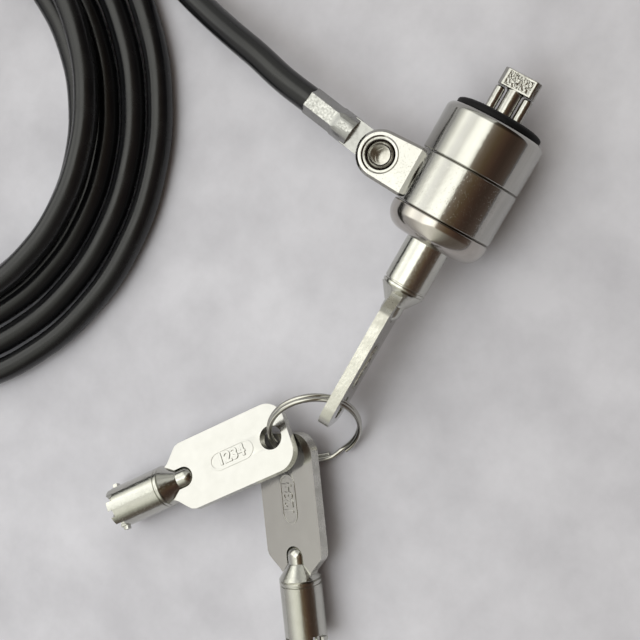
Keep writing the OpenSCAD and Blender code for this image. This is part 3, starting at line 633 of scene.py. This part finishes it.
# Matt paint with faint clouds, where it has been wiped
paint, tree, bsdf = new_material("pale_table", Roughness=0.75)
coords = add(tree, "ShaderNodeTexCoord")
clouds = add(tree, "ShaderNodeTexNoise", {"Vector": coords.outputs["Object"], "Scale": per_mm(14),
             "Detail": 5.0, "Roughness": 0.6})
tone = add(tree, "ShaderNodeMapRange", {"Value": clouds.outputs["Fac"], "From Min": 0.3, "From Max": 0.7})
colour = add(tree, "ShaderNodeMix", {0: tone.outputs[0], 6: linear("#CDCBD2"), 7: linear("#BBB9C0")},
             data_type="RGBA")
tree.links.new(colour.outputs[2], bsdf.inputs["Base Color"])
finish(floor, paint)

world = bpy.data.worlds.new("room")
bpy.context.scene.world = world
world.use_nodes = True
tree = world.node_tree
tree.nodes.clear()
direction = add(tree, "ShaderNodeTexCoord").outputs["Generated"]
split = add(tree, "ShaderNodeSeparateXYZ", {0: direction})
lean = add(tree, "ShaderNodeMath", {0: split.outputs["Y"], 1: split.outputs["Z"]}, operation="ARCTAN2")
along_ramp = add(tree, "ShaderNodeMapRange", {"Value": lean.outputs[0], "From Min": -math.pi / 2,
                 "From Max": math.pi / 2})
# Lean from the zenith in degrees, brightness, and tint. The dark room is below zero and the window above
# it. Past the window's end, on the -X side, is a pale wall.
WINDOW = [(-90, 0.16, "#FFEEE1"), (-72, 0.1, "#FFDBC6"), (-58, 0.07, "#FFD6BC"), (-46, 0.08, "#FFCDB2"),
          (-34, 0.12, "#FFCEAA"), (-22, 0.16, "#FFDAAA"), (-10, 0.25, "#FFE4C4"), (-1, 0.4, "#FFF0DC"),
          (2, 1.6, "#FFFFF4"), (6, 2.2, "#FFFFF6"), (14, 2.4, "#FFFFF8"), (28, 2.2, "#FFFFF6"),
          (38, 1.55, "#FFFFF8"), (50, 1.66, "#FFFFFA"), (63, 2.05, "#FFFFF6"), (76, 1.1, "#FFFFF6"),
          (90, 0.5, "#FFFFFF")]
WALL = [(-90, 0.25, "#FFF4EC"), (-60, 0.16, "#FFF0E0"), (-40, 0.18, "#FFF0DC"), (-25, 0.34, "#FFFCEC"),
        (-15, 0.62, "#FFFFEE"), (0, 1.05, "#FFFFF2"), (15, 1.2, "#FFFFF4"), (30, 1.1, "#FFFFF6"),
        (60, 0.62, "#FFFBF6"), (90, 0.5, "#FFFFFF")]
BRIGHTEST = 2.9


def ramped(levels):
    """The light by lean, as a share of the brightest. The ramp has its first and last stops already."""
    ramp = add(tree, "ShaderNodeValToRGB", {0: along_ramp.outputs[0]})
    stops = ramp.color_ramp.elements
    for angle, _, _ in levels[1:-1]:
        stops.new(angle / 180 + 0.5)
    for stop, (_, light, tint) in zip(stops, levels):
        stop.color = [c * light / BRIGHTEST for c in linear(tint)[:3]] + [1]
    return ramp.outputs[0]


# The pane on the -X side is brighter, and the window dims toward its other end. The limits here and
# below are the direction's own x, y and z.
PANE_LIGHT = 1.12
END_LIGHT = 0.35
pane = add(tree, "ShaderNodeMapRange", {"Value": split.outputs["X"], "From Min": 0.01, "From Max": -0.03,
           "To Min": 1.0, "To Max": PANE_LIGHT})
end = add(tree, "ShaderNodeMapRange", {"Value": split.outputs["X"], "From Min": 0.3, "From Max": 0.65,
          "To Min": BRIGHTEST, "To Max": BRIGHTEST * END_LIGHT}, interpolation_type="SMOOTHSTEP")
strength = add(tree, "ShaderNodeMath", {0: end.outputs[0], 1: pane.outputs[0]}, operation="MULTIPLY")
window_light = add(tree, "ShaderNodeBackground", {"Color": ramped(WINDOW), "Strength": strength.outputs[0]})
wall_light = add(tree, "ShaderNodeBackground", {"Color": ramped(WALL), "Strength": BRIGHTEST})
# The wall begins past the window, and its edge leans away as it comes down toward the +Y side
upper = add(tree, "ShaderNodeMapRange", {"Value": lean.outputs[0], "From Min": 0.1, "From Max": 0.5,
            "To Min": 0.0, "To Max": 0.18})
along_x = add(tree, "ShaderNodeMath", {0: split.outputs["X"], 1: upper.outputs[0]}, operation="ADD")
past_window = add(tree, "ShaderNodeMapRange", {"Value": along_x.outputs[0], "From Min": -0.1,
                  "From Max": -0.22}, interpolation_type="SMOOTHSTEP")
room_light = add(tree, "ShaderNodeMixShader", {0: past_window.outputs[0], 1: window_light.outputs[0],
                 2: wall_light.outputs[0]})
# Low down, all round, is the far end of the room, paler toward the window
toward_window = add(tree, "ShaderNodeMapRange", {"Value": split.outputs["Y"], "From Min": -0.3,
                    "From Max": 0.3})
far_wall = add(tree, "ShaderNodeMix", {0: toward_window.outputs[0], 6: linear("#8E8E92"),
               7: linear("#B9B9B8")}, data_type="RGBA")
horizon = add(tree, "ShaderNodeBackground", {"Color": far_wall.outputs[2], "Strength": 1.0})
height = add(tree, "ShaderNodeMapRange", {"Value": split.outputs["Z"], "From Min": 0.0, "From Max": 0.1})
sky = add(tree, "ShaderNodeMixShader", {0: height.outputs[0], 1: horizon.outputs[0],
          2: room_light.outputs[0]})
add(tree, "ShaderNodeOutputWorld", {"Surface": sky.outputs[0]})

fill = bpy.data.lights.new("overhead_fill", "AREA")
fill.size = 0.15
fill.energy = 0.16
fill.color = (0.93, 1.0, 1.03)
fill_lamp = placed("overhead_fill", fill)
FILL_AT = Vector((-0.125, 0.06, 0.2))
FILL_AIM = Vector((-0.04, 0, 0))
fill_lamp.location = FILL_AT
fill_lamp.rotation_euler = (FILL_AIM - FILL_AT).to_track_quat("-Z", "Y").to_euler()
fill_lamp.visible_glossy = False

eye = bpy.data.cameras.new("camera")
camera = placed("camera", eye)
EYE = Vector((-16.8, -18.9, 170.6)) * MM
LOOK_AT = Vector((-46.75, 11.56, -9)) * MM
UP = Vector((0.869, 0.494, 0))
VIEW_ANGLE = 35.59
ahead = (LOOK_AT - EYE).normalized()
right = ahead.cross(UP).normalized()
facing = Matrix((right, right.cross(ahead), -ahead)).transposed().to_4x4()
camera.matrix_world = Matrix.Translation(EYE) @ facing
eye.sensor_width = 36
eye.angle = math.radians(VIEW_ANGLE)
eye.clip_start = 0.005
bpy.context.scene.camera = camera
bpy.context.scene.view_settings.view_transform = "Standard"
